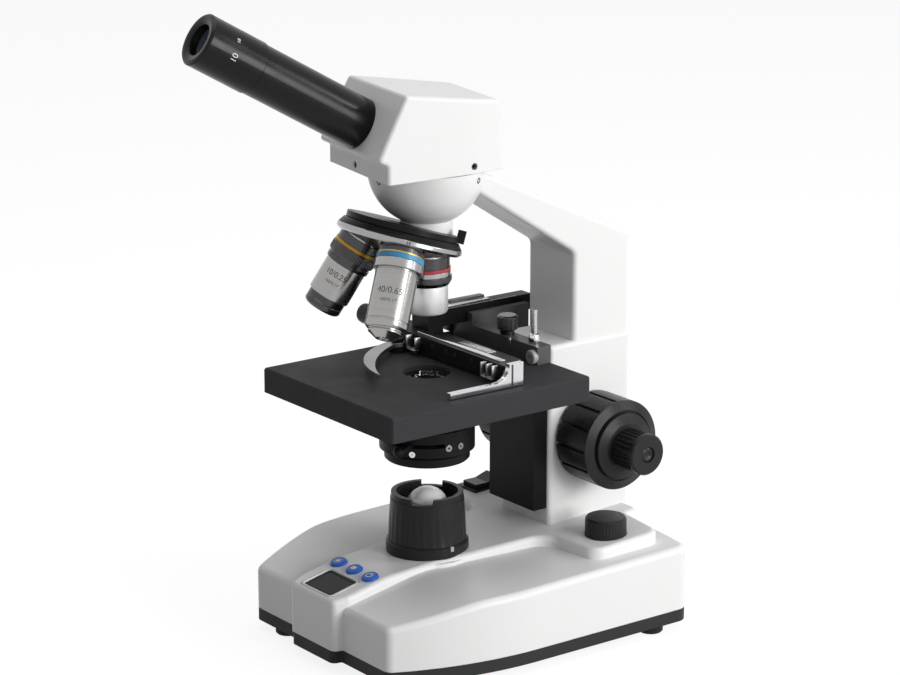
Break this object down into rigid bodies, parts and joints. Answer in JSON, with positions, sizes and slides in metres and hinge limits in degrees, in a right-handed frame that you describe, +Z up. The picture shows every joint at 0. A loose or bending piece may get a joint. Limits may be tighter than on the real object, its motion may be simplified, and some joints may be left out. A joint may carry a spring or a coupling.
{
  "type": "compound microscope",
  "caption": "Monocular student microscope with inclined eyepiece, rotating nosepiece, focusing stage with slide mover, condenser and lamp on a broad base.",
  "frame": {"origin": "on the table, under the optical axis of the objective in use", "axes": "+X to the user's right, +Y to the rear, towards the arm's post, +Z up"},
  "size_m": [0.1708, 0.2405, 0.3257],
  "materials": {
    "white_paint": "satin baked paint on a light alloy casting",
    "black_paint": "satin black finish on light alloy",
    "rubber": "matte",
    "steel": "machined",
    "brass": "machined",
    "chrome": "bright plated",
    "black_plastic": "moulded, light sheen",
    "display": "gloss",
    "board": "matte",
    "blue_plastic": "satin",
    "lamp": "satin",
    "glass": "polished"
  },
  "bodies": {
    "stand": {"base_housing": "white_paint", "base_plate": "black_paint", "rubber_feet": "rubber", "base_plate_screws": "steel", "arm": "white_paint", "arm_bolts": "steel", "display_window": "display", "control_board": "board", "dimmer_pot": "black_plastic", "switch_body": "black_plastic", "power_inlet": "black_plastic", "lamp_housing": "black_paint", "field_lens": "glass", "lamp_led": "lamp", "focus_guide": "steel", "focus_bushes": "brass", "nosepiece_mount": "black_paint"},
    "button_left_body": {"button_left": "blue_plastic"},
    "button_middle_body": {"button_middle": "blue_plastic"},
    "button_right_body": {"button_right": "blue_plastic"},
    "brightness_body": {"brightness_knob": "black_plastic"},
    "rocker_body": {"power_rocker": "black_plastic"},
    "focus_carriage": {"focus_slide": "black_paint", "focus_rack": "brass"},
    "coarse_drive": {"coarse_shaft": "steel", "coarse_knob_left": "black_plastic", "coarse_knob_right": "black_plastic"},
    "fine_drive": {"fine_shaft": "steel", "fine_knob_left": "black_plastic", "fine_knob_right": "black_plastic"},
    "stage": {"stage_bracket": "black_paint", "stage_plate": "black_paint", "stage_screws": "steel", "condenser_holder": "black_paint", "condenser_body": "black_paint", "condenser_lens": "glass", "condenser_screw": "steel", "stage_clamp_bar": "black_paint", "clamp_thumbscrew": "black_paint"},
    "iris": {"iris_lever": "black_paint"},
    "filter": {"filter_holder": "black_paint"},
    "cross_rail": {"y_carriage": "black_paint", "y_rail": "steel"},
    "holder": {"slide_holder": "black_paint", "slide_stop": "chrome"},
    "finger": {"slide_finger": "chrome"},
    "x_drive": {"x_knob": "black_plastic"},
    "y_drive": {"y_knob": "black_plastic"},
    "turret": {"turret_ring": "black_paint", "turret_cone": "chrome", "objective_4x": "chrome", "objective_10x": "chrome", "objective_40x": "chrome", "objective_lenses": "glass"},
    "head": {"head_housing": "white_paint", "head_screws": "steel", "head_prism": "glass", "eyepiece_tube": "black_paint"},
    "ocular": {"eyepiece": "black_paint", "eyepiece_lens": "glass"}
  },
  "joints": [
    {"name": "head_turn", "type": "hinge", "parent": "stand", "child": "head", "pos_m": [0, 0, 0.2425], "axis": [0, 0, 1], "continuous": true},
    {"name": "eyepiece_lift", "type": "slide", "parent": "head", "child": "ocular", "axis": [-0.1325, -0.8558, 0.5], "range_m": [0, 0.03]},
    {"name": "turret_turn", "type": "hinge", "parent": "stand", "child": "turret", "pos_m": [0, -0.01798, 0.20364], "axis": [0, 0.309, 0.9511], "continuous": true},
    {"name": "coarse_focus", "type": "slide", "parent": "stand", "child": "focus_carriage", "axis": [0, 0, 1], "range_m": [-0.008, 0.011]},
    {"name": "coarse_knob_turn", "type": "hinge", "parent": "stand", "child": "coarse_drive", "pos_m": [0, 0.0888, 0.0941], "axis": [1, 0, 0], "range_deg": [-105.14, 76.49]},
    {"name": "fine_focus", "type": "slide", "parent": "focus_carriage", "child": "stage", "axis": [0, 0, 1], "range_m": [-0.0009, 0.0009]},
    {"name": "fine_knob_turn", "type": "hinge", "parent": "stand", "child": "fine_drive", "pos_m": [0, 0.0888, 0.0941], "axis": [1, 0, 0], "range_deg": [-649, 649]},
    {"name": "stage_y", "type": "slide", "parent": "stage", "child": "cross_rail", "axis": [0, 1, 0], "range_m": [-0.012, 0.015]},
    {"name": "y_knob_turn", "type": "hinge", "parent": "stage", "child": "y_drive", "pos_m": [-0.038, 0.05525, 0.14535], "axis": [1, 0, 0], "range_deg": [-286.58, 229.28]},
    {"name": "stage_x", "type": "slide", "parent": "cross_rail", "child": "holder", "axis": [1, 0, 0], "range_m": [-0.03, 0.018]},
    {"name": "x_knob_turn", "type": "hinge", "parent": "cross_rail", "child": "x_drive", "pos_m": [-0.0828, 0.0296, 0.14275], "axis": [1, 0, 0], "range_deg": [-540.1, 324.1]},
    {"name": "finger_swing", "type": "hinge", "parent": "holder", "child": "finger", "pos_m": [-0.039, 0.0102, 0.1421], "axis": [0, 0, -1], "range_deg": [0, 35], "stiffness_Nm_per_rad": 0.05, "springref_deg": -5.73},
    {"name": "iris_swing", "type": "hinge", "parent": "stage", "child": "iris", "pos_m": [0, 0, 0.108], "axis": [0, 0, 1], "range_deg": [-35, 35]},
    {"name": "filter_swing", "type": "hinge", "parent": "stage", "child": "filter", "pos_m": [-0.01632, 0.00942, 0.096], "axis": [0, 0, -1], "range_deg": [0, 75]},
    {"name": "brightness_turn", "type": "hinge", "parent": "stand", "child": "brightness_body", "pos_m": [0.0486, 0.0765, 0.055], "axis": [0, 0, 1], "range_deg": [-140, 140]},
    {"name": "power_tip", "type": "hinge", "parent": "stand", "child": "rocker_body", "pos_m": [-0.051, 0.074, 0.05028], "axis": [1, 0, 0], "range_deg": [-18, 0]},
    {"name": "button_left_press", "type": "slide", "parent": "stand", "child": "button_left_body", "axis": [0, 0.2147, -0.9767], "range_m": [0, 0.001], "stiffness_N_per_m": 400, "springref_m": -0.0005},
    {"name": "button_middle_press", "type": "slide", "parent": "stand", "child": "button_middle_body", "axis": [0, 0.2147, -0.9767], "range_m": [0, 0.001], "stiffness_N_per_m": 400, "springref_m": -0.0005},
    {"name": "button_right_press", "type": "slide", "parent": "stand", "child": "button_right_body", "axis": [0, 0.2147, -0.9767], "range_m": [0, 0.001], "stiffness_N_per_m": 400, "springref_m": -0.0005}
  ],
  "couplings": [
    {"joint": "coarse_knob_turn", "follows": "coarse_focus", "rad_per_m": -166.67},
    {"joint": "fine_knob_turn", "follows": "fine_focus", "rad_per_m": 12566},
    {"joint": "y_knob_turn", "follows": "stage_y", "rad_per_m": -333.33},
    {"joint": "x_knob_turn", "follows": "stage_x", "rad_per_m": 314.16}
  ]
}
